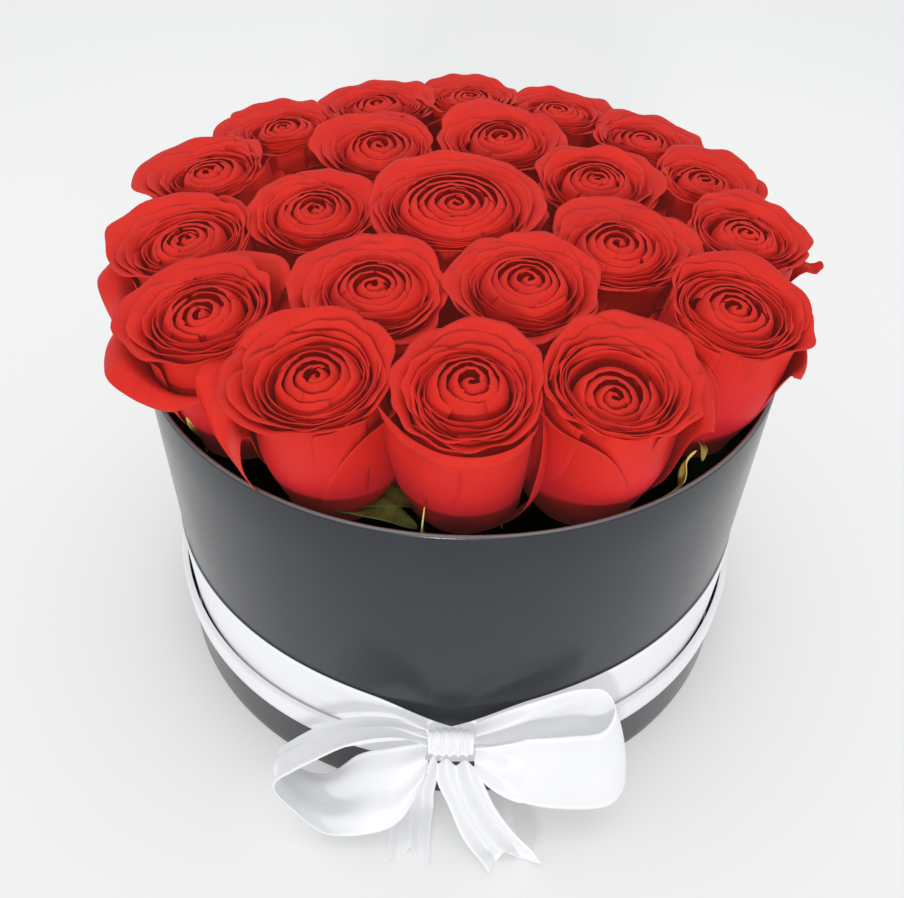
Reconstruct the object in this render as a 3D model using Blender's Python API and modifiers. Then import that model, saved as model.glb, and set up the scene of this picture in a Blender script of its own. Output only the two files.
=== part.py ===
"""Round flower box: roses in a lidded hat box that stands in its own lid, tied with a ribbon.

The origin is on the box's axis, on the surface the box stands on. +Z is up and the bow is at -Y.
"""
import math

import bmesh
import bpy
from mathutils import Vector

# Driving dimensions, in metres.
BOX_RADIUS = 0.125
RIM_HEIGHT = 0.150
BOARD = 0.002
GAP = 0.0003
WALL_SEGMENTS = 72
EDGE_BREAK = 0.0004

LID_CLEARANCE = 0.002
LID_DEPTH = 0.036
TRIM_WIDTH = 0.010
TRIM_DROP = 0.0003
RIBBON_WIDTH = 0.032
RIBBON_LOW = 0.033
RIBBON_THICK = 0.0006
BOW_THICK = 0.0008

LINER_THICK = 0.0006
LINER_TOP = 0.112
FOAM_TOP = 0.102
FOAM_INSET = 0.0006

STEM_RADIUS = 0.0026
STEM_LENGTH = 0.088
STEM_HOLE = 0.0030
CALYX_RADIUS = 0.0070
BLOOM_HEIGHT = 0.064
HEAD_LEVEL = 0.175

# Each ring of roses: its lean away from the box's axis in degrees, and one (distance, azimuth,
# bloom radius, base height) for every rose. The distance is the head's from the box's axis at
# HEAD_LEVEL. Azimuths are in degrees from -Y towards +X, and lengths in millimetres.
OUTER_RING = (7.0, (
    (101, -26.5, 22, 126), (98.5, 1, 20, 128), (101, 27.5, 22, 127), (103.5, 59.5, 23.5, 129),
    (101.5, 87, 21.2, 131), (101, 110, 19.3, 131), (101, 133, 19.5, 132), (99, 156.5, 19.5, 134),
    (98.5, 179.5, 19, 136), (99, 202.5, 19.5, 135), (102.5, 228, 21, 133), (104.5, 252.5, 21.5, 131),
    (99.5, 279, 23.5, 128), (103, 305.5, 22.3, 128),
))
INNER_RING = (0.0, (
    (57, -31, 20, 130), (50, 24, 20, 131), (58, 69, 19.5, 132), (58, 119, 19.5, 132),
    (62, 167, 19.5, 134), (62.5, 214, 19.5, 133), (55, 270, 20, 131),
))
CENTRE_ROSE = (0.0, ((4, 270, 28, 135),))

# The band is flat against the box but for the bow: there it steps out over the lid's rim, its
# lower edge rises clear of the lid and its upper edge comes down to the knot.
BAND_CLEARANCE = 0.0001
BAND_STEP_OUT = 0.003
STEP_OUT_WITHIN = 14
BAND_RISE = 0.005
RISE_WITHIN = 20
RISE_OVER = 11
BAND_PINCH = 0.0155
PINCH_FADE = 16
KNOT_HALF_SIZES = (0.0086, 0.0044, 0.0074)
KNOT_CENTRE = (0.0, -0.1337, 0.0470)

# Where the ribbon's two edges run in the bow, far edge first: (x, y, z) in millimetres.
LOOP_LEFT = (
    ((-9, -131.8, 53.4), (-9, -135.5, 48)), ((-22, -130.5, 54.5), (-20.5, -139.5, 56)),
    ((-37, -127, 48), (-34, -143, 57)), ((-51.5, -122, 34), (-46.5, -144.5, 51)),
    ((-63, -119.5, 20), (-58, -143, 38)), ((-69, -119.5, 12), (-65.5, -144, 29)),
    ((-65, -121, 5), (-58, -148.5, 19)), ((-51, -125, 6), (-46, -152.5, 11)),
    ((-36, -129.8, 29), (-30.5, -153, 11.5)), ((-21.5, -132.5, 39), (-18.5, -149, 15)),
    ((-9, -134.8, 45), (-9, -140.5, 33)),
)
LOOP_RIGHT = (
    ((9, -131.8, 54), (9, -133.6, 46)), ((17.5, -131.2, 60), (18.5, -133, 44)),
    ((32, -128.2, 66), (35, -131, 40)), ((46, -123.5, 67.5), (51, -129, 38)),
    ((55.5, -122.4, 66.5), (62, -130, 33)), ((60, -126.5, 60.5), (67.5, -136, 26)),
    ((55.5, -132.5, 55), (61.5, -143, 20)), ((42, -135.5, 56), (44.5, -146, 22)),
    ((27, -137, 56), (28, -145.5, 25)), ((17, -137, 54), (16, -142.5, 32)),
    ((9, -136.4, 51), (9, -140, 40)),
)
TAIL_RIGHT = (
    ((-2, -138, 38), (7, -138.4, 37.4)), ((-2, -141.5, 32), (12, -142.4, 33)),
    ((0, -145, 22), (17.5, -146, 24.5)), ((4.5, -149.5, 10.5), (24, -149.5, 14.5)),
    ((10, -155, 3.6), (31, -152.5, 5)), ((15.5, -162, 1.2), (35.8, -158, 1.2)),
)
TAIL_LEFT = (
    ((-14, -132, 32), (-4, -132.6, 31)), ((-17, -132, 21), (-5, -132.8, 20)),
    ((-20, -132.6, 10), (-6, -133.2, 9)), ((-22, -136, 3), (-6, -137, 3)),
    ((-23, -147, 1.2), (-7, -147, 1.2)), ((-23, -159, 1.2), (-7, -160, 1.2)),
)


def clear_scene():
    for item in list(bpy.data.objects):
        bpy.data.objects.remove(item)


def new_collection(name):
    collection = bpy.data.collections.new(name)
    bpy.context.scene.collection.children.link(collection)
    return collection


def new_material(name, colour, roughness, metallic=0.0):
    material = bpy.data.materials.new(name)
    material.use_nodes = True
    shader = material.node_tree.nodes["Principled BSDF"]
    shader.inputs["Base Color"].default_value = (*colour, 1.0)
    shader.inputs["Roughness"].default_value = roughness
    shader.inputs["Metallic"].default_value = metallic
    material.diffuse_color = (*colour, 1.0)
    return material


def new_object(name, mesh, collection, material=None):
    item = bpy.data.objects.new(name, mesh)
    collection.objects.link(item)
    if material:
        mesh.materials.append(material)
    return item


def turned(name, profile, steps, collection, material=None, closed=False):
    """A solid of revolution: the profile runs down its outer side as (radius, height) pairs."""
    points = [(radius, 0.0, height) for radius, height in profile]
    edges = [(i, i + 1) for i in range(len(points) - 1)]
    if closed:
        edges.append((len(points) - 1, 0))
    mesh = bpy.data.meshes.new(name)
    mesh.from_pydata(points, edges, [])
    item = new_object(name, mesh, collection, material)
    screw = item.modifiers.new("Turn", "SCREW")
    screw.axis = "Z"
    screw.angle = math.tau
    screw.steps = steps
    screw.render_steps = steps
    screw.use_merge_vertices = True
    screw.merge_threshold = 0.00001
    screw.use_smooth_shade = True
    return item


def ring(name, outer, inner, low, high, collection, material):
    """A plain tube with its edges slightly broken."""
    cut = min(EDGE_BREAK, (outer - inner) / 3)
    profile = [
        (outer - cut, high), (outer, high - cut), (outer, low + cut), (outer - cut, low),
        (inner + cut, low), (inner, low + cut), (inner, high - cut), (inner + cut, high),
    ]
    return turned(name, profile, WALL_SEGMENTS, collection, material, closed=True)


def disc(name, radius, low, high, collection, material):
    profile = [
        (0.0, high), (radius - EDGE_BREAK, high), (radius, high - EDGE_BREAK),
        (radius, low + EDGE_BREAK), (radius - EDGE_BREAK, low), (0.0, low),
    ]
    return turned(name, profile, WALL_SEGMENTS, collection, material)


def smooth_step(value):
    value = min(max(value, 0.0), 1.0)
    return value * value * (3 - 2 * value)


def spline_point(points, along):
    """A point on the Catmull-Rom curve through the points, at 0 to 1 along it."""
    place = along * (len(points) - 1)
    start = min(int(place), len(points) - 2)
    t = place - start
    before, first, second, after = (
        Vector(points[min(max(start + k, 0), len(points) - 1)]) for k in (-1, 0, 1, 2)
    )
    return 0.5 * (2 * first + (second - before) * t
                  + (2 * before - 5 * first + 4 * second - after) * t * t
                  + (3 * first - before - 3 * second + after) * t ** 3)


def solid_sheet(name, rows, thickness, collection, material, wrap=False):
    """Thickens a grid of points, given row by row, into a closed solid."""
    bm = bmesh.new()
    grid = [[bm.verts.new(point) for point in row] for row in rows]
    if wrap:
        grid.append(grid[0])
    for row, following in zip(grid, grid[1:]):
        for i in range(len(row) - 1):
            bm.faces.new((row[i], row[i + 1], following[i + 1], following[i]))
    for face in bm.faces:
        face.smooth = True
    mesh = bpy.data.meshes.new(name)
    bm.to_mesh(mesh)
    bm.free()
    item = new_object(name, mesh, collection, material)
    solidify = item.modifiers.new("Thickness", "SOLIDIFY")
    solidify.thickness = thickness
    solidify.offset = 0.0
    return item


def ribbon_piece(name, stations, per_station, collection, material):
    """A stretch of ribbon swept between its far and its near edge."""
    far = [Vector(edges[0]) / 1000 for edges in stations]
    near = [Vector(edges[1]) / 1000 for edges in stations]
    count = per_station * (len(stations) - 1)
    across = 3
    rows = []
    for i in range(count + 1):
        a = spline_point(far, i / count)
        b = spline_point(near, i / count)
        rows.append([a.lerp(b, j / across) for j in range(across + 1)])
    return solid_sheet(name, rows, BOW_THICK, collection, material)


def band_rows():
    """The wide ribbon round the box: it narrows and steps out over the lid's rim at the knot."""
    across = 3
    rows = []
    for i in range(WALL_SEGMENTS):
        azimuth = math.tau * i / WALL_SEGMENTS
        off_front = math.degrees(min(azimuth, math.tau - azimuth))
        step_out = BAND_STEP_OUT * smooth_step((STEP_OUT_WITHIN - off_front) / STEP_OUT_WITHIN)
        radius = BOX_RADIUS + GAP + RIBBON_THICK / 2 + BAND_CLEARANCE + step_out
        low = RIBBON_LOW + BAND_RISE * smooth_step((RISE_WITHIN - off_front) / RISE_OVER)
        high = RIBBON_LOW + RIBBON_WIDTH - BAND_PINCH * math.exp(-off_front / PINCH_FADE)
        rows.append([
            (radius * math.sin(azimuth), -radius * math.cos(azimuth), low + (high - low) * j / across)
            for j in range(across + 1)
        ])
    return rows


def build_base(collection, black, satin):
    inner = BOX_RADIUS + LID_CLEARANCE
    outer = inner + BOARD
    trim_high = LID_DEPTH - TRIM_DROP
    ring("base_lid_wall", outer, inner, 0.0, LID_DEPTH, collection, black)
    disc("base_lid_disc", inner - GAP, 0.0, BOARD, collection, black)
    ring("base_trim_ribbon", outer + GAP + RIBBON_THICK, outer + GAP, trim_high - TRIM_WIDTH,
         trim_high, collection, satin)


def build_box(collection, black):
    low = BOARD + GAP
    ring("box_wall", BOX_RADIUS, BOX_RADIUS - BOARD, low, RIM_HEIGHT, collection, black)
    disc("box_bottom", BOX_RADIUS - BOARD - GAP, low, low + BOARD, collection, black)


def build_bow(collection, satin):
    solid_sheet("ribbon_band", band_rows(), RIBBON_THICK, collection, satin, wrap=True)
    knot_mesh = bpy.data.meshes.new("bow_knot")
    bm = bmesh.new()
    bmesh.ops.create_uvsphere(bm, u_segments=16, v_segments=10, radius=1.0)
    bmesh.ops.scale(bm, vec=KNOT_HALF_SIZES, verts=bm.verts)
    for face in bm.faces:
        face.smooth = True
    bm.to_mesh(knot_mesh)
    bm.free()
    knot = new_object("bow_knot", knot_mesh, collection, satin)
    knot.location = KNOT_CENTRE
    ribbon_piece("bow_loop_left", LOOP_LEFT, 2, collection, satin)
    ribbon_piece("bow_loop_right", LOOP_RIGHT, 2, collection, satin)
    ribbon_piece("bow_tail_left", TAIL_LEFT, 3, collection, satin)
    ribbon_piece("bow_tail_right", TAIL_RIGHT, 3, collection, satin)


def build_insert(collection, cutters, holes, film, foam_green):
    """The film liner and the foam block, with a hole for every stem."""
    outer = BOX_RADIUS - BOARD - GAP
    low = 2 * BOARD + 2 * GAP
    inner = outer - LINER_THICK
    turned("liner_cup", [
        (outer, LINER_TOP), (outer, low), (0.0, low), (0.0, low + LINER_THICK),
        (inner, low + LINER_THICK), (inner, LINER_TOP),
    ], WALL_SEGMENTS, collection, film, closed=True)
    foam_radius = inner - FOAM_INSET
    foam_low = low + LINER_THICK + GAP
    foam = turned("floral_foam", [
        (0.0, FOAM_TOP), (foam_radius, FOAM_TOP), (foam_radius, foam_low), (0.0, foam_low),
    ], WALL_SEGMENTS // 2, collection, foam_green)
    for axis in holes:
        depth = STEM_LENGTH + 0.001
        cutter = turned("hole_" + axis.name, [
            (0.0, 0.0), (STEM_HOLE, 0.0), (STEM_HOLE, -depth), (0.0, -depth),
        ], 10, cutters)
        cutter.parent = axis
        cutter.hide_render = True
        cutter.display_type = "WIRE"
    cut = foam.modifiers.new("Stem holes", "BOOLEAN")
    cut.operation = "DIFFERENCE"
    cut.operand_type = "COLLECTION"
    cut.collection = cutters


def build_roses(collection, petal_red, stem_green):
    """One bloom and one stem for each rose, both parented to an empty on the stem's axis."""
    axes = []
    for lean, places in (OUTER_RING, INNER_RING, CENTRE_ROSE):
        for distance, azimuth, size, base in places:
            number = f"{len(axes) + 1:02d}"
            turn = math.radians(azimuth)
            base_height = base / 1000
            drift = (HEAD_LEVEL - base_height) * math.tan(math.radians(lean))
            from_axis = distance / 1000 - drift
            bloom_radius = size / 1000
            axis = bpy.data.objects.new("rose_axis_" + number, None)
            collection.objects.link(axis)
            axis.location = (from_axis * math.sin(turn), -from_axis * math.cos(turn), base_height)
            axis.rotation_euler = (math.radians(lean), 0.0, turn)
            axes.append(axis)
            bloom = turned("bloom_" + number, [
                (0.0, BLOOM_HEIGHT), (0.55 * bloom_radius, 0.97 * BLOOM_HEIGHT),
                (0.90 * bloom_radius, 0.91 * BLOOM_HEIGHT), (bloom_radius, 0.78 * BLOOM_HEIGHT),
                (0.97 * bloom_radius, 0.50 * BLOOM_HEIGHT), (0.82 * bloom_radius, 0.24 * BLOOM_HEIGHT),
                (0.34 * bloom_radius, GAP), (0.0, GAP),
            ], 14, collection, petal_red)
            bloom.parent = axis
            stem = turned("stem_" + number, [
                (0.0, 0.0), (0.8 * CALYX_RADIUS, 0.0), (CALYX_RADIUS, -0.0035),
                (STEM_RADIUS, -0.0120), (STEM_RADIUS, -STEM_LENGTH), (0.0, -STEM_LENGTH),
            ], 8, collection, stem_green)
            stem.parent = axis
    return axes


def main():
    clear_scene()
    parts = new_collection("flower_box")
    cutters = new_collection("cutters")
    black = new_material("black_paper", (0.018, 0.018, 0.020), 0.48)
    satin = new_material("white_satin", (0.90, 0.90, 0.91), 0.35)
    film = new_material("clear_film", (0.55, 0.57, 0.58), 0.25)
    foam_green = new_material("floral_foam", (0.06, 0.20, 0.07), 0.95)
    petal_red = new_material("petal_red", (0.55, 0.010, 0.012), 0.55)
    stem_green = new_material("stem_green", (0.09, 0.19, 0.04), 0.60)
    build_base(parts, black, satin)
    build_box(parts, black)
    build_bow(parts, satin)
    axes = build_roses(parts, petal_red, stem_green)
    bpy.context.view_layer.update()
    build_insert(parts, cutters, axes, film, foam_green)


main()
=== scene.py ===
"""Looks of the round flower box: many-petalled roses in a black hat box tied with white satin.

Lengths are in metres in the CAD's own frame: +Z up, the bow at -Y. Flower and ribbon tables are in
millimetres, and an azimuth is in degrees from -Y towards +X.
"""

import math

import bpy
import numpy as np
from mathutils import Matrix, Vector


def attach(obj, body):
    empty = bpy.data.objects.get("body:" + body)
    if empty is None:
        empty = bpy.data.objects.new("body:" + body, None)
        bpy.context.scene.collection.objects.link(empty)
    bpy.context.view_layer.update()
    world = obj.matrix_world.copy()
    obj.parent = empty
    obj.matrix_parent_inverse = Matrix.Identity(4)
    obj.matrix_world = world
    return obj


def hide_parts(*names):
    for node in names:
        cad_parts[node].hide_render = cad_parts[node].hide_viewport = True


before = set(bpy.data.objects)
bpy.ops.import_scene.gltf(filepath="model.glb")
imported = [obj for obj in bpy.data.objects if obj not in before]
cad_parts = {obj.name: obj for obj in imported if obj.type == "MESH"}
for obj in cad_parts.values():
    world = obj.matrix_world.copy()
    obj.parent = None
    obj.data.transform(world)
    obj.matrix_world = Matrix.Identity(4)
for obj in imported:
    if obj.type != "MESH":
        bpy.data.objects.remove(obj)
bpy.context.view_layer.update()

MM = 0.001
BOX_RADIUS = 0.125
RIM_HEIGHT = 0.150
BOARD = 0.002
GAP = 0.0003
LID_INNER = 0.127
LID_OUTER = 0.129
LID_DEPTH = 0.036
TRIM_LOW = 0.0257
TRIM_HIGH = 0.0357
TRIM_FOLD = 0.0006
SATIN_THICK = 0.0003
RIBBON_LOW = 0.033
RIBBON_WIDTH = 0.032
BAND_CLEARANCE = 0.0006
HEAD_LEVEL = 0.175

# (lean, ((distance, azimuth, bloom radius, base height), ...)), as in the CAD.
RINGS = (
    (7.0, (
        (101, -26.5, 22, 126), (98.5, 1, 20, 128), (101, 27.5, 22, 127), (103.5, 59.5, 23.5, 129),
        (101.5, 87, 21.2, 131), (101, 110, 19.3, 131), (101, 133, 19.5, 132),
        (99, 156.5, 19.5, 134), (98.5, 179.5, 19, 136), (99, 202.5, 19.5, 135),
        (102.5, 228, 21, 133), (104.5, 252.5, 21.5, 131), (99.5, 279, 23.5, 128),
        (103, 305.5, 22.3, 128),
    )),
    (0.0, (
        (57, -31, 20, 130), (50, 24, 20, 131), (58, 69, 19.5, 132), (58, 119, 19.5, 132),
        (62, 167, 19.5, 134), (62.5, 214, 19.5, 133), (55, 270, 20, 131),
    )),
    (0.0, ((4, 270, 28, 135),)),
)
# How far each rose's lips reach from its axis: front, right, back, left.
REACH = (
    (23, 25, 28, 34), (22, 23, 30, 23), (22, 29, 29, 22), (24, 27, 28, 23), (23, 27, 27, 20),
    (22, 26, 28, 20), (21, 26, 28, 22), (22, 26, 26, 24), (21, 22, 25, 25), (23, 28, 26, 27),
    (24, 22, 28, 32), (24, 21, 27, 33), (25, 23, 28, 35), (25, 22, 28, 30),
    (31, 25, 29, 31), (30, 27, 27, 28), (26, 30, 31, 25), (24, 28, 28, 24), (24, 28, 29, 28),
    (25, 23, 28, 29), (28, 21, 27, 26), (29, 35, 34, 34),
)
# Loose outer petals that lie low in the gaps: (azimuth, half-angle, reach, lip height, curl).
GUARDS = {
    3: ((-118, 34, 27, 48, 70), (150, 36, 32, 50, 70)),
    4: ((-95, 34, 27, 47, 70), (-150, 36, 32, 50, 70)),
    5: ((-60, 34, 28, 48, 70), (-120, 36, 30, 50, 80)),
    6: ((-60, 36, 27, 48, 70), (-110, 36, 29, 50, 80)),
    7: ((-30, 38, 28, 50, 80), (-90, 34, 28, 50, 80)),
    8: ((-30, 40, 28, 50, 80), (60, 34, 27, 51, 80)),
    9: ((0, 42, 28, 50, 80), (-72, 36, 30, 56, 70), (90, 34, 27, 52, 80), (-110, 42, 33, 58, 60)),
    10: ((30, 42, 28, 50, 80), (90, 34, 29, 52, 80), (62, 36, 31, 56, 70), (104, 42, 32, 58, 60)),
    11: ((40, 40, 28, 50, 80), (110, 36, 29, 51, 80)),
    12: ((20, 38, 28, 48, 80), (110, 38, 29, 50, 80)),
    13: ((40, 36, 27, 47, 70), (110, 38, 30, 50, 80)),
    14: ((60, 30, 26, 47, 60), (120, 38, 30, 50, 80), (170, 34, 30, 52, 80)),
    15: ((-20, 40, 34, 48, 85), (45, 34, 31, 47, 80), (-100, 38, 33, 49, 80)),
    16: ((-40, 36, 32, 47, 80), (35, 38, 34, 48, 85), (100, 34, 30, 50, 80)),
    17: ((-30, 38, 31, 47, 80), (60, 38, 32, 50, 80), (120, 34, 31, 52, 80)),
    18: ((-20, 38, 29, 48, 80), (70, 38, 30, 50, 80), (-100, 36, 28, 50, 80)),
    19: ((0, 40, 29, 49, 80), (-80, 36, 30, 51, 80), (80, 36, 30, 51, 80)),
    20: ((10, 40, 29, 49, 80), (80, 36, 28, 51, 80), (-90, 36, 30, 51, 80)),
    21: ((20, 40, 31, 48, 80), (-60, 36, 28, 49, 80), (90, 36, 27, 51, 80)),
    22: ((-30, 44, 32, 50, 85), (35, 44, 33, 50, 85), (110, 40, 36, 53, 80), (-110, 40, 36, 53, 80)),
}
# The usual outer and inner roses: the height of the front lips, the rise of the back ones over it,
# the heart's share of the radius, how far it stands up, and how far the cup is drawn inwards.
OUTER_ROSE = (59.0, 4.0, 0.60, 2.2, 6.0)
INNER_ROSE = (58.5, 6.0, 0.76, 4.2, 0.0)
# A cup's radius as a share of the CAD bloom's, and the first rose's random seed less one.
CUP_SHARE = 0.99
SEED = 700
# Hearts away from the usual place: their offset from the axis, and how far they stand up.
HEARTS = {2: ((0.8, 1.5), 3.4), 22: ((0.5, -3.5), 4.6), 3: ((-0.8, -5.0), -1.2)}
# Where the outermost petals start, for roses seen from the front; the others start anywhere.
FIRST_PETAL = {1: -39, 2: 20, 3: -4, 4: 20, 14: -10, 13: -20, 12: 0, 5: 0}


# ---------- materials

class Nodes:
    """A short way to write a material's node tree."""

    def __init__(self, name):
        self.material = bpy.data.materials.new(name)
        self.material.use_nodes = True
        self.tree = self.material.node_tree
        self.shader = self.tree.nodes["Principled BSDF"]

    def set(self, **values):
        for key, value in values.items():
            socket = self.shader.inputs[key.replace("_", " ")]
            socket.default_value = (*value, 1.0) if isinstance(value, tuple) else value

    def add(self, kind, inputs=(), **settings):
        node = self.tree.nodes.new("ShaderNode" + kind)
        for key, value in settings.items():
            setattr(node, key, value)
        for key, value in dict(inputs).items():
            self.feed(node.inputs[key], value)
        return node

    def feed(self, socket, value):
        if isinstance(value, bpy.types.NodeSocket):
            self.tree.links.new(value, socket)
        else:
            socket.default_value = value

    def place(self):
        return self.add("TexCoord").outputs["Object"]

    def noise(self, scale, detail=3.0, rough=0.5, at=None, stretch=None):
        at = at or self.place()
        if stretch:
            at = self.add("Mapping", {"Vector": at, "Scale": stretch}).outputs["Vector"]
        node = self.add("TexNoise", {"Vector": at, "Scale": scale, "Detail": detail, "Roughness": rough})
        return node.outputs["Fac"]

    def ramp(self, value, *stops):
        node = self.add("ValToRGB", {"Fac": value})
        band = node.color_ramp
        while len(band.elements) < len(stops):
            band.elements.new(0.5)
        for element, (place, colour) in zip(band.elements, stops):
            element.position = place
            colour = (colour,) * 3 if isinstance(colour, float) else colour
            element.color = (*colour, 1.0)
        return node.outputs["Color"]

    def mix(self, factor, first, second):
        node = self.add("Mix", data_type="RGBA")
        self.feed(node.inputs[0], factor)
        for socket, value in ((node.inputs[6], first), (node.inputs[7], second)):
            self.feed(socket, (*value, 1.0) if isinstance(value, tuple) else value)
        return node.outputs[2]

    def math(self, operation, *values):
        node = self.add("Math", operation=operation)
        for socket, value in zip(node.inputs, values):
            self.feed(socket, value)
        return node.outputs[0]

    def value(self, name):
        return self.add("Attribute", attribute_name=name).outputs["Fac"]

    def bump(self, height, strength, distance, normal=None):
        inputs = {"Height": height, "Strength": strength, "Distance": distance}
        if normal:
            inputs["Normal"] = normal
        return self.add("Bump", inputs).outputs["Normal"]

    def done(self, colour=None, roughness=None, normal=None):
        for key, value in (("Base Color", colour), ("Roughness", roughness), ("Normal", normal)):
            if value is not None:
                self.feed(self.shader.inputs[key], value)
        return self.material


def petal_material():
    """Velvety petals, each in its own tone: cooler low down, finely veined, with a painted highlight at the
    lip.

    depth darkens the places that light hardly reaches, and the faint glow stands for light that
    passes through a petal.
    """
    n = Nodes("rose_petal")
    n.set(Roughness=0.58, Specular_IOR_Level=0.14, Sheen_Weight=0.12, Sheen_Roughness=0.50)
    n.set(Sheen_Tint=(1.0, 0.10, 0.14), Emission_Color=(0.32, 0.075, 0.058), Emission_Strength=0.085)
    along = n.value("along")
    across = n.value("across")
    strands = {"X": n.math("MULTIPLY", across, 26.0), "Y": n.math("MULTIPLY", along, 1.6)}
    strands["Z"] = n.value("which")
    veins = n.noise(1.0, 4.0, 0.6, at=n.add("CombineXYZ", strands).outputs[0])
    cloud = n.noise(70.0, 3.0, 0.55)
    body = n.ramp(cloud, (0.35, (0.62, 0.017, 0.007)), (0.70, (0.55, 0.012, 0.006)))
    body = n.mix(n.ramp(along, (0.18, 0.65), (0.62, 0.0)), body, (0.62, 0.012, 0.045))
    own = n.math("FRACT", n.math("MULTIPLY", n.value("which"), 7.3))
    body = n.mix(n.ramp(own, (0.0, 0.0), (1.0, 0.30)), body, (0.40, 0.008, 0.006))
    veined = n.mix(n.ramp(veins, (0.50, 0.0), (0.80, 0.20)), body, (0.34, 0.006, 0.010))
    # Painted highlight: the lip is paler, standing for the light caught along it.
    edge = n.mix(n.ramp(n.value("rim"), (0.94, 0.0), (1.0, 0.30)), veined, (0.62, 0.030, 0.026))
    edge = n.mix(n.ramp(n.value("depth"), (0.24, 0.0), (0.78, 1.0)), edge, (0.075, 0.001, 0.002))
    normal = n.bump(veins, 0.14, 0.0004)
    normal = n.bump(n.noise(900.0, 2.0), 0.08, 0.0002, normal)
    return n.done(edge, None, normal)


def stem_material():
    """Waxy green stem, calyx, sepals and leaves, yellower towards their tips."""
    n = Nodes("stem_green")
    n.set(Roughness=0.48, Specular_IOR_Level=0.4)
    streaks = n.noise(160.0, 4.0, 0.6, stretch=(1.0, 1.0, 0.12))
    green = n.ramp(streaks, (0.30, (0.035, 0.085, 0.018)), (0.70, (0.12, 0.22, 0.05)))
    tip = n.mix(n.ramp(n.value("along"), (0.25, 0.0), (0.80, 0.95)), green, (0.64, 0.62, 0.14))
    return n.done(tip, None, n.bump(streaks, 0.3, 0.0005))


def paper_material():
    """Black wrapping paper over board: a half-gloss with a fine grain, and a painted grey highlight on the
    rims.
    """
    n = Nodes("black_paper")
    n.set(Specular_IOR_Level=0.5, IOR=1.52)
    grain = n.noise(1500.0, 2.0, 0.6)
    mottle = n.noise(38.0, 4.0, 0.6)
    colour = n.ramp(mottle, (0.30, (0.006, 0.009, 0.014)), (0.70, (0.010, 0.013, 0.019)))
    # Painted highlight: the rounded rims are greyed to stand for the light along their edges.
    painted_highlight = n.mix(n.ramp(n.value("rim"), (0.5, 0.0), (1.0, 0.55)), colour, (0.34, 0.34, 0.35))
    roughness = n.ramp(mottle, (0.30, 0.19), (0.70, 0.25))
    normal = n.bump(grain, 0.18, 0.0002)
    return n.done(painted_highlight, roughness, n.bump(mottle, 0.08, 0.0012, normal))


def satin_material():
    """White satin: a very fine warp and weft, a soft broad sheen, and a painted highlight along its edges.

    The glow stands for light that passes through the weave.
    """
    n = Nodes("white_satin")
    n.set(Specular_IOR_Level=0.40, Sheen_Weight=0.10, Sheen_Roughness=0.35)
    n.set(Sheen_Tint=(0.93, 0.95, 1.0), Emission_Color=(0.95, 0.96, 1.0), Emission_Strength=0.28)
    warp = n.math("SINE", n.math("MULTIPLY", n.value("across"), 420.0))
    weft = n.math("SINE", n.math("MULTIPLY", n.value("along"), 2600.0))
    soft = n.noise(55.0, 3.0)
    # Painted highlight: the ribbon is paler along its edges.
    edge_highlight = n.ramp(n.value("rim"), (0.86, 0.0), (0.93, 1.0))
    colour = n.ramp(soft, (0.30, (0.50, 0.505, 0.515)), (0.70, (0.54, 0.542, 0.55)))
    colour = n.mix(n.math("MULTIPLY", edge_highlight, 0.25), colour, (0.78, 0.79, 0.81))
    normal = n.bump(warp, 0.10, 0.00012)
    normal = n.bump(weft, 0.05, 0.00010, normal)
    return n.done(colour, n.ramp(soft, (0.30, 0.30), (0.70, 0.40)), n.bump(soft, 0.10, 0.0010, normal))


def film_material():
    """Thin, mostly clear, crinkled waterproof film round the foam."""
    n = Nodes("clear_film")
    n.set(Roughness=0.12, Specular_IOR_Level=0.6, Alpha=0.15)
    crinkle = n.noise(150.0, 4.0, 0.6, stretch=(1.0, 1.0, 0.35))
    colour = n.ramp(crinkle, (0.3, (0.30, 0.36, 0.33)), (0.7, (0.50, 0.56, 0.53)))
    return n.done(colour, None, n.bump(crinkle, 0.8, 0.003))


def foam_material():
    """Wet floral foam with a fine open-cell grain: dark green in uneven patches, and darker still as
    painted shade for the gaps between the cups.
    """
    n = Nodes("floral_foam")
    n.set(Roughness=0.92, Specular_IOR_Level=0.2)
    cells = n.add("TexVoronoi", {"Vector": n.place(), "Scale": 900.0}).outputs["Distance"]
    patches = n.noise(45.0, 5.0, 0.65)
    # Painted shade: the foam is darkened to stand for the shade in the gaps between the cups.
    colour = n.ramp(patches, (0.30, (0.006, 0.022, 0.008)), (0.70, (0.016, 0.045, 0.017)))
    return n.done(colour, None, n.bump(cells, 0.7, 0.0008, n.bump(patches, 0.4, 0.002)))


def floor_material():
    """Matt white studio floor that lights up its own shadows a little."""
    n = Nodes("floor")
    n.set(Roughness=0.85, Specular_IOR_Level=0.1)
    n.set(Emission_Color=(0.97, 0.98, 0.97), Emission_Strength=0.20)
    colour = n.ramp(n.noise(2.0, 2.0), (0.3, (0.66, 0.665, 0.66)), (0.7, (0.68, 0.68, 0.673)))
    return n.done(colour)


# ---------- meshes

def smooth(value):
    """An even step from 0 to 1 without corners."""
    value = np.clip(value, 0.0, 1.0)
    return value * value * (3 - 2 * value)


def along_spline(points, t):
    """Catmull-Rom through the points at t, an array of any shape from 0 to 1."""
    points = np.asarray(points, float)
    last = len(points) - 1
    place = np.clip(t, 0, 1) * last
    start = np.minimum(place.astype(int), last - 1)
    f = (place - start)[..., None]
    a, b, c, d = (points[np.clip(start + k, 0, last)] for k in (-1, 0, 1, 2))
    return 0.5 * (2 * b + (c - a) * f + (2 * a - 5 * b + 4 * c - d) * f ** 2
                  + (3 * b - a - 3 * c + d) * f ** 3)


def add_object(name, data):
    item = bpy.data.objects.new(name, data)
    bpy.context.scene.collection.objects.link(item)
    return item


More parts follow.
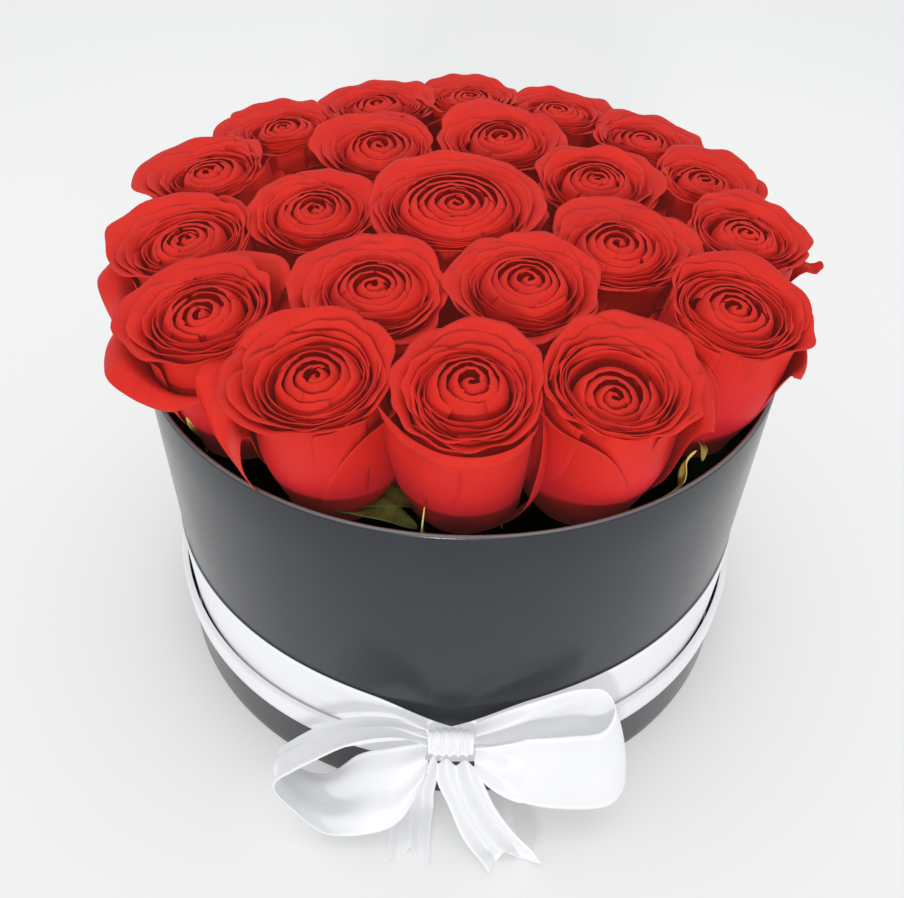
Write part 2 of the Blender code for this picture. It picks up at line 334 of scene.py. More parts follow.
class Shells:
    """Gathers thin closed sheets, each grown from a grid of points, into one mesh."""

    def __init__(self):
        self.points = []
        self.quads = []
        self.count = 0
        self.values = {"along": [], "across": [], "rim": [], "which": [], "depth": []}

    def add(self, grid, thickness, which=0.0, along=None, across=None, wrap=False, rim=None, depth=(0, 0)):
        """Adds a sheet, or with wrap a ring whose last row joins its first.

        grid is rows x columns x 3. The others are numbers or rows x columns: along, across, rim and
        which are kept for the materials, as is depth, the shade of a petal's inner and outer face.
        """
        rows, columns = grid.shape[:2]
        along = np.linspace(0, 1, rows)[:, None] * np.ones((1, columns)) if along is None else along
        across = np.ones((rows, 1)) * np.linspace(-1, 1, columns) if across is None else across
        ahead = np.gradient(grid, axis=0)
        if wrap:
            ahead = (np.roll(grid, -1, 0) - np.roll(grid, 1, 0)) / 2
        normal = np.cross(ahead, np.gradient(grid, axis=1))
        length = np.linalg.norm(normal, axis=2, keepdims=True)
        normal = normal / np.maximum(length, 1e-12)
        half = (np.ones((rows, columns)) * thickness)[..., None] / 2
        faces = ((grid + normal * half), (grid - normal * half))
        points = np.concatenate([face.reshape(-1, 3) for face in faces])
        index = np.arange(rows * columns).reshape(rows, columns)
        if wrap:
            index = np.concatenate([index, index[:1]])
        low, high = index[:-1], index[1:]
        front = np.stack([low[:, :-1], low[:, 1:], high[:, 1:], high[:, :-1]], -1).reshape(-1, 4)
        back = front[:, ::-1] + rows * columns
        edges = [index[:, 0][::-1], index[:, -1]]
        if not wrap:
            edges = [np.concatenate([index[0, :-1], index[:-1, -1], index[-1, :0:-1], index[::-1, 0]])]
        sides = []
        for edge in edges:
            a, b = edge[:-1], edge[1:]
            sides.append(np.stack([a, a + rows * columns, b + rows * columns, b], -1))
        self.quads.append(np.concatenate([front, back, *sides]) + self.count)
        self.points.append(points)
        self.count += len(points)
        if rim is None:
            rim = np.maximum(along, np.abs(across))
        whole = np.ones((rows, columns))
        for key, value in (("along", along), ("across", across), ("rim", rim), ("which", which)):
            self.values[key].append(np.tile((whole * value).ravel(), 2))
        self.values["depth"].append(np.concatenate([(whole * side).ravel() for side in depth]))

    def build(self, name, material, matrix=None):
        points = np.concatenate(self.points)
        if matrix is not None:
            turn = np.array(matrix)
            points = points @ turn[:3, :3].T + turn[:3, 3]
        mesh = bpy.data.meshes.new(name)
        mesh.from_pydata(points.tolist(), [], np.concatenate(self.quads).tolist())
        for key, value in self.values.items():
            layer = mesh.attributes.new(key, "FLOAT", "POINT")
            layer.data.foreach_set("value", np.concatenate(value).astype(np.float32))
        mesh.polygons.foreach_set("use_smooth", [True] * len(mesh.polygons))
        mesh.materials.append(material)
        mesh.update()
        return add_object(name, mesh)


def place_piece(piece, body, node):
    """Says which body the piece moves with, which CAD node it replaces."""
    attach(piece, body)
    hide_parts(node)


def give_material(node, material):
    """Gives a CAD piece that stays in the picture its finished material."""
    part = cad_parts[node]
    part.data.materials.clear()
    part.data.materials.append(material)


def ripple(rng, turns=(1, 2, 3, 5)):
    """A smooth random function of an angle, about -1 to 1."""
    parts = [(k, rng.uniform(0.4, 1.0) / k ** 0.5, rng.uniform(0, math.tau)) for k in turns]
    total = sum(p[1] for p in parts)
    return lambda a: sum(size * np.sin(k * a + phase) for k, size, phase in parts) / total


def plain_side(points, last):
    """A side view given as (radius, height) points that may change to last's at the u = 1 edge."""
    def side(azimuth, u, v):
        line = along_spline(points, v)
        if last is not None:
            share = smooth((u + 0.15) / 0.85)[..., None]
            line = line * (1 - share) + along_spline(last, v) * share
        return line[..., 0], line[..., 1]
    return side


# An opening petal's outline below its throat, as shares of the cup's radius at even heights.
CUP = np.array((0.30, 0.80, 0.93, 0.975, 0.99, 1, 1, 1, 1, 1, 1, 0.995, 0.99))[:, None]
# Where along a petal its lip starts, and how high its base stands.
LIP_FROM = 0.66
PETAL_BASE = 0.6
# Painted shadow of the box's rim on the outer faces, darkening them low down: how much, up to where, fading
# over what height.
FOOT_SHADE = 0.70
FOOT_HEIGHT = 11
FOOT_FADE = 12


def opening_side(belly, throat, reach, tops, curl):
    """The side view of a petal that opens as far as reach wants at each azimuth.

    throat and tops are (front, back) pairs: shares of belly, and heights of the lip's highest line.
    The lip is an arc that starts upright at the throat and has turned by curl degrees at its end.
    """
    turned = math.radians(curl)

    def side(azimuth, u, v):
        behind = (1 - np.cos(azimuth)) / 2
        neck = belly * (throat[0] + (throat[1] - throat[0]) * behind)
        far = np.maximum(reach_at(reach, azimuth), neck + 0.3)
        bend = (far - neck) / (1 - math.cos(turned))
        level = tops[0] + (tops[1] - tops[0]) * behind - bend * math.sin(min(turned, math.pi / 2))
        below = np.clip(v / LIP_FROM, 0, 1)
        beyond = np.clip((v - LIP_FROM) / (1 - LIP_FROM), 0, 1) * turned
        inward = smooth((below - 0.5) / 0.5)
        cup = belly * along_spline(CUP, below)[..., 0] * (1 - inward) + neck * inward
        return cup + bend * (1 - np.cos(beyond)), below * level + PETAL_BASE + bend * np.sin(beyond)
    return side


def reach_at(reach, azimuth):
    """The lips' reach towards an azimuth, smoothly between front, right, back and left."""
    quarter = np.mod(azimuth, math.tau) / (math.pi / 2)
    i = np.floor(quarter).astype(int)
    f = smooth(quarter - i)
    reach = np.asarray(reach, float)
    return reach[i % 4] * (1 - f) + reach[(i + 1) % 4] * f


def petal(shells, rng, centre, half_angle, side, base_width=0.7, corner=0.3, corner_power=2.2,
          point=0.0, spiral=0.0, slant=0.0, flat=0.0, wave=0.5, flare=(0.0, 0.0), middle=(0, 0),
          size=(25, 17), thick=0.34, tuck=0.0, outside=0.0, shade=1.0, hug=0.0):
    """One petal round the rose's axis, in millimetres and degrees.

    side(azimuth, u, v) gives its radius and height from the base (v = 0) over the lip (v = 1), u
    being -1 and 1 at its edges. Its width starts at base_width of the whole. corner rounds the
    lip's ends off and point draws its middle out. spiral brings one edge in under the next petal,
    slant runs the petal round the cup, flat takes the roundness off it, flare peels an edge away,
    tuck lowers the lip's ends, wave ruffles the lip, and hug presses the edges below the throat in
    on the petals under it. middle shifts the inner part. outside is how lit its outer face stays
    towards the base, and shade how dark it all gets there.
    """
    columns, rows = size
    u = np.linspace(-1, 1, columns)[None, :] * np.ones((rows, 1))
    v = np.linspace(0, 1, rows)[:, None] ** 0.85
    span = 1 - corner * np.abs(u) ** corner_power + point * np.exp(-(u / 0.22) ** 2)
    v = v * span
    widen = base_width + (1 - base_width) * smooth(v / 0.5)
    angle = math.radians(half_angle) * u * widen
    theta = math.radians(centre) + angle + math.radians(slant) * (v - 0.5)
    radius, height = side(theta, u, v)
    grown = smooth(v / 0.45)
    radius = radius + spiral * u * grown
    radius = radius * (1 + flat * (1 / np.cos(0.7 * angle) - 1) * grown)
    for edge, amount in zip((-1, 1), flare):
        curl = np.clip((edge * u - 0.45) / 0.55, 0, 1) ** 2
        radius = radius + amount * curl * smooth(v / 0.7)
    radius = radius - hug * smooth((np.abs(u) - 0.72) / 0.28) * (1 - smooth((v - 0.45) / 0.25)) * grown
    bend, lift, roll = ripple(rng), ripple(rng), ripple(rng, (1, 2))
    late = np.clip(v, 0, 1) ** 3
    radius = radius + 0.45 * wave * roll(3.0 * u + 5.0 * v) * smooth((v - 0.2) / 0.4)
    radius = radius + wave * bend(2.6 * angle) * late
    height = height + wave * 0.8 * lift(2.6 * angle) * late - tuck * np.abs(u) ** 2 * late
    inner = 1 - smooth((radius - 4) / 24)
    x = radius * np.sin(theta) + middle[0] * inner
    y = -radius * np.cos(theta) + middle[1] * inner
    edge = np.minimum(1 - np.abs(u), np.linspace(1, 0, rows)[:, None] * 1.2)
    thickness = thick * MM * (0.35 + 0.65 * smooth(edge / 0.12))
    # Painted shadow: the box's rim shades the foot of the outer faces.
    painted_rim_shadow = 1 - smooth((height - FOOT_HEIGHT + 2.5 * roll(5.0 * u + 1.0)) / FOOT_FADE)
    outer = np.maximum(shade * (1 - v) * (1 - outside), FOOT_SHADE * painted_rim_shadow)
    shells.add(np.stack([x, y, height], -1) * MM, thickness, which=rng.uniform(0, 40), along=v,
               across=u, rim=v / span, depth=(shade * (1 - v), outer))


# A head's rings of petals outside the heart: where between heart (0) and cup (1) each stands, how
# many petals it has, their half-angle, how far their lips stay below the tallest at the front and
# at the back, how far they curl, and how lit their outer faces stay.
WHORLS = (
    (0.14, 3, 88, -0.2, 3.6, 35, 0.3), (0.34, 4, 74, 0.2, 2.8, 46, 0.3),
    (0.58, 4, 72, 0.5, 1.8, 60, 0.5), (0.80, 4, 66, 1.0, 0.6, 76, 0.8),
    (1.00, 3, 84, 1.8, 0.0, 92, 1.0),
)
# How late the rings spread to the full reach at the front, right, back and left.
SPREAD = np.array((1.0, 1.9, 2.7, 1.9))


def scale_side(line, back):
    """A side view along line, raised by up to back towards the back."""
    def side(azimuth, u, v):
        at = along_spline(line, v)
        return at[..., 0], at[..., 1] + back * (1 - np.cos(azimuth)) / 2 * smooth(v / 0.6)
    return side


def heart_petals(shells, rng, tall, rise, middle, heart, lift):
    """The closed bud in the middle: a low dome of petals that lie over each other like scales."""
    turn = rng.uniform(0, 360)
    count = round(heart / 1.3)
    top = tall + lift
    drop = 3.0 + 0.5 * lift

    def dome(radius):
        return top - drop * np.clip(radius / heart, 0, 1.2) ** 2

    for k in range(count):
        share = k / (count - 1)
        tip = 0.2 + (heart - 2.6) * share ** 0.9
        belly = tip + 2.3 + 0.6 * share
        half_way = (belly + tip) / 2
        lip = rng.uniform(0.0, 0.8)
        line = ((0.5 * belly, 0.35 * tall), (belly, 0.62 * tall), (belly + 0.3, dome(belly) - 4.5),
                (belly, dome(belly) - 1.2), (half_way, dome(half_way) + 0.4), (tip, dome(tip) + lip))
        off = (middle[0] * 1.3 + rng.uniform(-0.6, 0.6), middle[1] * 1.3 + rng.uniform(-0.6, 0.6))
        petal(shells, rng, turn, rng.uniform(66, 108), scale_side(line, 0.8 * rise * share),
              base_width=0.8, corner=rng.uniform(0.03, 0.08), spiral=0.5, slant=rng.uniform(-5, 20),
              wave=0.25 + 0.45 * share, middle=off, thick=0.30, outside=1.0, shade=0.10)
        turn += 137.5 + rng.uniform(-24, 24)


def rose_head(rng, size, reach, tall, rise, middle, heart, lift, start, guards, extra):
    """A rose from its tight heart outwards, with a cup of radius size.

    tall is the front lips' height and rise the back's over it. heart is the closed middle's radius,
    lift how far it stands up, and start where the outermost petals begin.
    """
    shells = Shells()
    heart_petals(shells, rng, tall, rise, middle, heart, lift)
    turn = rng.uniform(0, 360)
    inner = heart + 1.4
    outward = np.array(reach, float) - inner
    for fraction, number, half, front_drop, back_drop, curl, outside in WHORLS:
        turn = start if fraction == 1.0 and start is not None else turn + rng.uniform(25, 65)
        for k in range(number):
            centre = turn + 360 / number * k + rng.uniform(-12, 12)
            belly = heart + 1.2 + (size - heart - 1.2) * (0.06 + 0.94 * fraction)
            loose = rng.uniform(-0.8, 1.6) * (1 - abs(2 * fraction - 1))
            far = inner + outward * fraction ** SPREAD * rng.uniform(0.90, 1.02) + loose
            tops = (tall - front_drop + 0.2 * lift * (1 - fraction) + rng.uniform(-0.7, 0.6),
                    tall + rise - back_drop + rng.uniform(-1.3, 1.0))
            side = opening_side(belly, (0.965, 0.90), far, tops, curl + rng.uniform(-10, 10))
            petal(shells, rng, centre, half + rng.uniform(-5, 5), side, base_width=0.8,
                  corner=rng.uniform(0.10, 0.26), corner_power=2.4, spiral=0.7, slant=rng.uniform(6, 24),
                  flat=0.10, wave=0.5 + 1.5 * fraction ** 2, middle=middle, outside=outside,
                  size=(37, 24), tuck=rng.uniform(0.3, 1.8),
                  point=rng.uniform(0.0, 0.02 + 0.09 * fraction), hug=0.9 if fraction > 0.7 else 0.0)
    for centre, half, far, top, curl in guards:
        ring = np.full(4, float(far))
        side = opening_side(size * 1.01, (0.98, 0.97), ring, (top, top + 1.0), curl)
        petal(shells, rng, centre, half, side, base_width=0.7, corner=rng.uniform(0.25, 0.40),
              slant=rng.uniform(-10, 16), flat=0.05, wave=1.1, middle=middle, outside=1.0, size=(31, 22),
              tuck=rng.uniform(0.5, 2.0), point=rng.uniform(0.02, 0.08), hug=0.5)
    for points, last, shape in extra:
        petal(shells, rng, side=plain_side(points, last), outside=1.0, **shape)
    return shells


# ---------- roses

# Outer petals that stand out on single roses: a side view, another for the u = 1 edge, the shape.
SPECIAL = {
    1: (
        (((8, 1), (19, 12), (22, 28), (20.5, 42), (24, 51), (30, 57), (36.5, 58)),
         ((8, 1), (19, 12), (22.5, 28), (23.5, 44), (27.5, 48), (30.5, 38), (29.5, 23)),
         dict(centre=-100, half_angle=42, slant=30, corner=0.06, wave=0.3, size=(41, 28), point=0.05)),
        (((8, 1), (21.4, 8.5), (22.6, 20), (23.1, 34), (23.6, 45), (25.4, 52), (28, 54)), None,
         dict(centre=78, half_angle=98, corner=0.80, corner_power=1.4, wave=0.4, size=(45, 26),
              base_width=0.95)),
    ),
    2: (
        (((8, 1), (19.8, 8.5), (20.9, 20), (21.2, 36), (21.5, 50), (23.2, 56.5), (24.6, 53.5)), None,
         dict(centre=-10, half_angle=76, corner=0.16, corner_power=3.0, wave=0.4, size=(41, 24),
              base_width=0.9, flare=(5.0, 0.0))),
        (((10, 1), (21, 9), (25.8, 21), (26.0, 34), (25.2, 44), (23.4, 52), (21, 58)), None,
         dict(centre=70, half_angle=14, slant=58, corner=0.20, size=(13, 26), base_width=0.9)),
    ),
    3: (
        (((8, 1), (21.4, 8.5), (22.6, 20), (23.1, 34), (23.4, 47), (24.9, 54), (26.4, 55)), None,
         dict(centre=-66, half_angle=106, corner=0.75, corner_power=1.7, wave=0.4, size=(45, 26),
              base_width=0.95)),
        (((8, 1), (18.5, 11), (22, 26), (22.3, 44), (23, 54), (27, 60), (30, 59)), None,
         dict(centre=102, half_angle=50, corner=0.12, wave=0.4, size=(31, 18), base_width=0.9,
              flare=(5.5, 0.0))),
    ),
    4: (
        (((12, 1), (21, 9), (23.8, 20), (24.4, 34), (24.8, 46), (26, 53), (27.5, 54)), None,
         dict(centre=-52, half_angle=72, corner=0.85, corner_power=1.5, size=(41, 26), base_width=0.95)),
        (((12, 1), (20.8, 9), (23.8, 22), (24.4, 38), (27, 49), (29, 47.5), (28.3, 40)), None,
         dict(centre=88, half_angle=44, corner=0.25, wave=0.8, size=(37, 26), base_width=0.8)),
    ),
    5: (
        (((8, 1), (18, 12), (21, 28), (22.5, 42), (27, 49), (32, 48), (34.5, 51)), None,
         dict(centre=91, half_angle=20, corner=0.66, corner_power=1.1, point=0.20, wave=0.2,
              size=(21, 22), base_width=0.8)),
    ),
    13: (
        (((8, 1), (19, 12), (23, 28), (23, 40), (28, 48), (34, 50), (40, 46)),
         ((8, 1), (19, 12), (23.5, 28), (25.5, 42), (31, 44), (35, 36), (36, 27)),
         dict(centre=-86, half_angle=48, corner=0.22, wave=1.0, size=(41, 28), point=0.08)),
    ),
    14: (
        (((10, 1), (19, 10), (22, 24), (22, 38), (26, 49), (31, 52), (37, 48)),
         ((10, 1), (19, 10), (22, 24), (23, 38), (27, 46), (30, 44), (31, 39)),
         dict(centre=-58, half_angle=62, corner=0.25, wave=1.0, size=(45, 28), point=0.06)),
        (((8, 1), (18, 12), (22, 28), (22, 44), (26, 54), (31, 58), (36, 58)), None,
         dict(centre=160, half_angle=40, corner=0.2, wave=0.8, size=(31, 24), point=0.05)),
    ),
}


def rose_matrix(distance, azimuth, base, lean):
    """The rose's own axes: its z is the stem's line, and its -y still points to the front."""
    turn = math.radians(azimuth)
    from_axis = distance * MM - (HEAD_LEVEL - base * MM) * math.tan(math.radians(lean))
    place = Matrix.Translation((from_axis * math.sin(turn), -from_axis * math.cos(turn), base * MM))
    tilt = Matrix.Rotation(turn, 4, "Z") @ Matrix.Rotation(math.radians(lean), 4, "X")
    return place @ tilt @ Matrix.Rotation(-turn, 4, "Z")


def sepal(shells, rng, azimuth, length, curl, width, out, droop):
    """A long pointed sepal from under the cup, twisted and curled back at its tip."""
    rows, columns = 16, 5
    t = np.linspace(0, 1, rows)[:, None]
    u = np.linspace(-1, 1, columns)[None, :]
    half = width * (1 - t) ** 0.7 * (0.55 + 1.1 * t * (1 - t)) + 0.12
    line_r = 5.5 + out * np.sin(t * math.pi * 0.55) + curl * np.maximum(t - 0.6, 0) * 6
    line_z = -1.5 + length * (t * (1 - droop) - droop * t * t)
    twist = 1.2 * t * rng.uniform(-1, 1)
    turn = math.radians(azimuth) + 0.12 * np.sin(5 * t + rng.uniform(0, 6))
    side = half * u * np.cos(twist)
    x = line_r * np.sin(turn) + side * np.cos(turn)
    y = -line_r * np.cos(turn) + side * np.sin(turn)
    z = line_z + half * u * np.sin(twist) + 0.25 * half * u * u
    shells.add(np.stack([x, y, z], -1) * MM, 0.35 * MM, along=t * np.ones((1, columns)) * 0.9)


def blade(shells, matrix, path, width, lean, hollow, tip):
    """A leaf or sepal of half-width width along a path of points in the box's frame.

    lean turns it about the path, hollow cups it, and tip is how yellow its end is.
    """
    rows, columns = 26, 9
    t = np.linspace(0, 1, rows)
    line = along_spline(path, t)
    ahead = np.gradient(line, axis=0)
    side = np.cross(ahead, (0, 0, 1))
    side /= np.maximum(np.linalg.norm(side, axis=1, keepdims=True), 1e-9)
    up = np.cross(side, ahead)
    up /= np.maximum(np.linalg.norm(up, axis=1, keepdims=True), 1e-9)
    turn = np.radians(np.interp(t, np.linspace(0, 1, len(lean)), lean))[:, None]
    across = side * np.cos(turn) + up * np.sin(turn)
    lift = up * np.cos(turn) - side * np.sin(turn)
    half = width * (np.sin(math.pi * np.clip(t, 0, 1) ** 0.8) ** 0.7 + 0.05)[:, None]
    u = np.linspace(-1, 1, columns)[None, :, None]
    grid = line[:, None] + across[:, None] * half[:, None] * u
    grid = grid + lift[:, None] * half[:, None] * hollow * (u * u - 0.12 * np.sin(22 * t[:, None, None]))
    turn_back = np.array(matrix.inverted())
    grid = (grid * MM) @ turn_back[:3, :3].T + turn_back[:3, 3]
    shells.add(grid, 0.35 * MM, along=(tip * t)[:, None] * np.ones((1, columns)))


# Leaves and long sepals that show between the cups: (path, half-width, lean, hollow, yellow tip).
BLADES = {
    1: (
        (((-38, -94, 128), (-33, -104, 139), (-25, -110, 144.5), (-13, -114, 142)),
         7.6, (8, 14, 20), 0.25, 0.26),
        (((-36, -92, 128), (-29, -99, 139), (-21, -102, 142.5), (-11, -102, 140)),
         6.0, (-10, 0, 10), 0.30, 0.24),
    ),
    2: (
        (((-6, -101, 124), (-10, -114, 137), (-11, -119.5, 145), (-10.5, -117, 155)),
         1.5, (60, 85, 80), 0.3, 1.0),
    ),
    3: (
        (((52, -92, 126), (66, -97, 138), (73, -96.5, 146), (74.5, -92, 153), (78, -88, 155)),
         2.5, (20, 60, 80), 0.4, 0.95),
        (((50, -94, 126), (62, -99, 137), (69, -99, 144), (74, -97, 147)),
         2.6, (20, 50, 60), 0.4, 0.9),
    ),
    4: (
        (((86, -54, 128), (84, -66, 139), (84, -76, 146), (83, -82, 145)),
         2.0, (10, 30, 40), 0.4, 0.8),
    ),
    14: (
        (((-82, -62, 128), (-88, -72, 141), (-92, -76, 149), (-93, -76, 155)),
         1.0, (10, 60, 70), 0.4, 0.8),
    ),
    16: (
        (((20, -46, 128), (27, -58, 139), (31, -70, 142), (33, -80, 139)),
         4.2, (10, 20, 25), 0.35, 0.3),
    ),
}
# The swollen top and the stem under a rose: radii, and heights below the head's base.
CALYX_TOP = 5.6
CALYX_WIDEST = 7.0
CALYX_DEPTH = 3.5
NECK_DEPTH = 12.0
STEM_RADIUS = 2.45
STEM_END = 87.8


def stem_piece(rng, number, matrix, green):
    """The cut stem with its bud scars, the swollen calyx, five sepals and any leaves."""
    shells = Shells()
    rows, sides = 46, 16
    z = -STEM_END * np.linspace(0, 1, rows)
    swell = CALYX_TOP + (CALYX_WIDEST - CALYX_TOP) * np.clip(-z / CALYX_DEPTH, 0, 1)
    neck = smooth((z + NECK_DEPTH) / (NECK_DEPTH - CALYX_DEPTH))
    taper = STEM_RADIUS + (CALYX_WIDEST - STEM_RADIUS) * neck
    radius = np.where(z > -CALYX_DEPTH, swell, taper)
    for scar in rng.uniform(-80, -22, 3):
        radius = radius + 0.30 * np.exp(-((z - scar) / 1.6) ** 2)
    around = np.linspace(0, math.tau, sides, endpoint=False)
    wobble = 0.06 * np.sin(z * 0.25 + rng.uniform(0, 6))
    ring = np.stack([
        np.outer(np.sin(around), radius) + wobble, np.outer(np.cos(around), radius),
        np.ones((sides, 1)) * z[None, :],
    ], -1)
    plain = np.zeros((sides, rows))
    shells.add(ring * MM, 0.5 * MM, wrap=True, along=plain, rim=plain)
    for k in range(5):
        sepal(shells, rng, 72 * k + rng.uniform(-15, 15), rng.uniform(12, 18), rng.uniform(0.2, 0.8),
              rng.uniform(2.2, 3.0), rng.uniform(7, 10), rng.uniform(0.25, 0.6))
    for path, width, lean, hollow, tip in BLADES.get(number, ()):
        blade(shells, matrix, path, width, lean, hollow, tip)
    piece = shells.build(f"stem_visual_{number:02d}", green, matrix)
    place_piece(piece, f"rose_{number:02d}", f"stem_{number:02d}")


def draw_in(shells, azimuth, amount):
    """Moves the cup's lower half towards the box's axis, leaving its base and its lips in place."""
    outward = np.array((math.sin(azimuth), -math.cos(azimuth), 0.0))
    for points in shells.points:
        height = points[:, 2] / MM
        share = smooth(height / 10) * smooth(1 - height / 42)
        points -= outward * (amount * MM * share)[:, None]


def make_roses(petals, green):
    number = 0
    for lean, places in RINGS:
        tall, rise, heart_share, lift, drawn_in = OUTER_ROSE if lean else INNER_ROSE
        for distance, azimuth, size, base in places:
            number += 1
            rng = np.random.default_rng(SEED + number)
            matrix = rose_matrix(distance, azimuth, base, lean)
            size *= CUP_SHARE
            usual = ((rng.uniform(-1.0, 1.0), rng.uniform(-3.2, -1.6)), lift)
            middle, stands_up = HEARTS.get(number, usual)
            shells = rose_head(rng, size, REACH[number - 1], tall, rise, middle, heart_share * size,
                               stands_up, FIRST_PETAL.get(number), GUARDS.get(number, ()),
                               SPECIAL.get(number, ()))
            draw_in(shells, math.radians(azimuth), drawn_in)
            piece = shells.build(f"rose_visual_{number:02d}", petals, matrix)
            place_piece(piece, f"rose_{number:02d}", f"bloom_{number:02d}")
            stem_piece(rng, number, matrix, green)


# ---------- box

def revolve(shells, profile, rim, steps=288):
    """A closed ring turned from a closed (radius, height) outline; rim is a number for each point."""
    outline = np.array(profile, float)
    around = np.linspace(0, math.tau, steps, endpoint=False)
    grid = np.stack([
        np.outer(np.sin(around), outline[:, 0]), np.outer(-np.cos(around), outline[:, 0]),
        np.ones((steps, 1)) * outline[:, 1][None, :],
    ], -1)
    count = len(outline)
    index = np.arange(steps * count).reshape(steps, count)
    a, b = index, np.roll(index, -1, 0)
    quads = np.stack([a, b, np.roll(b, -1, 1), np.roll(a, -1, 1)], -1).reshape(-1, 4)
    shells.quads.append(quads + shells.count)
    shells.points.append(grid.reshape(-1, 3))
    shells.count += steps * count
    plain = np.zeros(count)
    for key, value in zip(shells.values, (outline[:, 1], outline[:, 0], np.array(rim), plain, plain)):
        shells.values[key].append((np.ones((steps, 1)) * value[None, :]).ravel())


# The wrapped paper rounds a board's upper and lower edge by this much.
ROUND_TOP = 0.0010
ROUND_LOW = 0.0006


def board_outline(outer, inner, low, high):
    """The section of a paper-covered board wall, and how strong the painted highlight is at each point."""
    line, painted_highlight = [], []
    edges = (
        (high, low, 1, ROUND_TOP, 1.0, inner),
        (low, high, -1, ROUND_LOW, 0.6, outer),
    )
    for edge, other, up, rounding, highlight_share, next_side in edges:
        r = min(rounding, (outer - inner) / 2)
        for k in range(9):
            turn = math.pi * k / 8
            a = turn if up > 0 else math.pi + turn
            centre = (outer - r) if (k <= 4) == (up > 0) else (inner + r)
            line.append((centre + r * math.cos(a), edge - up * r + r * math.sin(a)))
            painted_highlight.append(highlight_share * math.sin(turn))
        for z in np.linspace(edge - up * r, other + up * r, 8)[1:-1]:
            line.append((next_side, z))
            painted_highlight.append(0.0)
    return line, painted_highlight


def make_box(paper, satin):
    walls = (
        ("box_wall_visual", BOX_RADIUS, BOX_RADIUS - BOARD, BOARD + GAP, RIM_HEIGHT, "hat_box", "box_wall"),
        ("base_lid_visual", LID_OUTER, LID_INNER, 0.0, LID_DEPTH, "base_tray", "base_lid_wall"),
    )
    for name, outer, inner, low, high, body, node in walls:
        shells = Shells()
        line, painted_highlight = board_outline(outer, inner, low, high)
        revolve(shells, line, painted_highlight)
        place_piece(shells.build(name, paper), body, node)
    for node in ("box_bottom", "base_lid_disc"):
        give_material(node, paper)
    trim_ribbon(satin)


def band_grid(radius, low, high, steps, across):
    """Rows of points round the axis between two heights, each a function of the azimuth."""
    around = np.linspace(-math.pi, math.pi, steps, endpoint=False)[:, None]
    s = np.linspace(0, 1, across)[None, :]
    z = low(around) * (1 - s) + high(around) * s
    r = radius(around, s)
    return np.stack([r * np.sin(around), -r * np.cos(around), z * np.ones_like(r)], -1)


def trim_ribbon(satin):
    """The narrow ribbon glued round the lid, slightly waved, its upper edge turned in over the rim."""
    shells = Shells()
    slack = 0.00012
    ring = LID_OUTER + GAP + SATIN_THICK / 2 + slack
    grid = band_grid(
        lambda a, s: ring + 0.00010 * np.sin(7 * a + 3 * s) * np.sin(math.pi * s),
        lambda a: TRIM_LOW + 0.00015 * np.sin(5 * a), lambda a: TRIM_HIGH + 0 * a, 288, 7,
    )
    turn_in = [
        (ring - TRIM_FOLD * (1 - math.cos(a)), TRIM_HIGH + TRIM_FOLD * math.sin(a))
        for a in np.linspace(0, math.pi / 2, 5)[1:]
    ]
    turn_in.append((LID_INNER + 0.0001, TRIM_HIGH + TRIM_FOLD))
    around = np.arctan2(grid[:, :1, 0], -grid[:, :1, 1])
    top = [np.stack([r * np.sin(around), -r * np.cos(around), z + 0 * around], -1) for r, z in turn_in]
    grid = np.concatenate([grid, *top], axis=1)
    shells.add(grid, SATIN_THICK, wrap=True)
    trim = shells.build("base_trim_visual", satin)
    place_piece(trim, "base_tray", "base_trim_ribbon")


# ---------- ribbon and bow

# Where the ribbon's two edges run. They follow the CAD's, but the right tail starts wider.
LOOP_LEFT = (
    ((-9, -131.8, 53.4), (-9, -135.5, 48)), ((-22, -130.5, 54.5), (-20.5, -139.5, 56)),
    ((-37, -127, 48), (-34, -143, 57)), ((-51.5, -122, 34), (-46.5, -144.5, 51)),
    ((-63, -119.5, 20), (-58, -143, 38)), ((-69, -119.5, 12), (-65.5, -144, 29)),
    ((-65, -121, 5), (-58, -148.5, 19)), ((-51, -125, 6), (-46, -152.5, 11)),
    ((-36, -129.8, 29), (-30.5, -153, 11.5)), ((-21.5, -132.5, 39), (-18.5, -149, 15)),
    ((-9, -134.8, 45), (-9, -140.5, 33)),
)
LOOP_RIGHT = (
    ((9, -131.8, 54), (9, -133.6, 46)), ((17.5, -131.2, 60), (18.5, -133, 44)),
    ((32, -128.2, 66), (35, -131, 40)), ((46, -123.5, 67.5), (51, -129, 38)),
    ((55.5, -122.4, 66.5), (62, -130, 33)), ((60, -126.5, 60.5), (67.5, -136, 26)),
    ((55.5, -132.5, 55), (61.5, -143, 20)), ((42, -135.5, 56), (44.5, -146, 22)),
    ((27, -137, 56), (28, -145.5, 25)), ((17, -137, 54), (16, -142.5, 32)),
    ((9, -136.4, 51), (9, -140, 40)),
)
TAIL_RIGHT = (
    ((-5, -137.5, 40), (9, -138, 39.5)), ((-4.5, -141, 33), (13, -142.2, 34)),
    ((0, -145, 22), (17.5, -146, 24.5)), ((4.5, -149.5, 10.5), (24, -149.5, 14.5)),
    ((10, -155, 3.6), (31, -152.5, 5)), ((15.5, -162, 1.2), (35.8, -158, 1.2)),
)
TAIL_LEFT = (
    ((-14, -132, 32), (-4, -132.6, 31)), ((-17, -132, 21), (-5, -132.8, 20)),
    ((-20, -132.6, 10), (-6, -133.2, 9)), ((-22, -136, 3), (-6, -137, 3)),
    ((-23, -147, 1.2), (-7, -147, 1.2)), ((-23, -159, 1.2), (-7, -160, 1.2)),
)


# The ribbon's folds: how many, how far along the gathering reaches, and how deep they may be; then
# how low the ribbon may hang.
FOLDS = 2.0
GATHERED = 0.22
DEEPEST_FOLD = 0.0032
LOWEST_SATIN = 0.0006


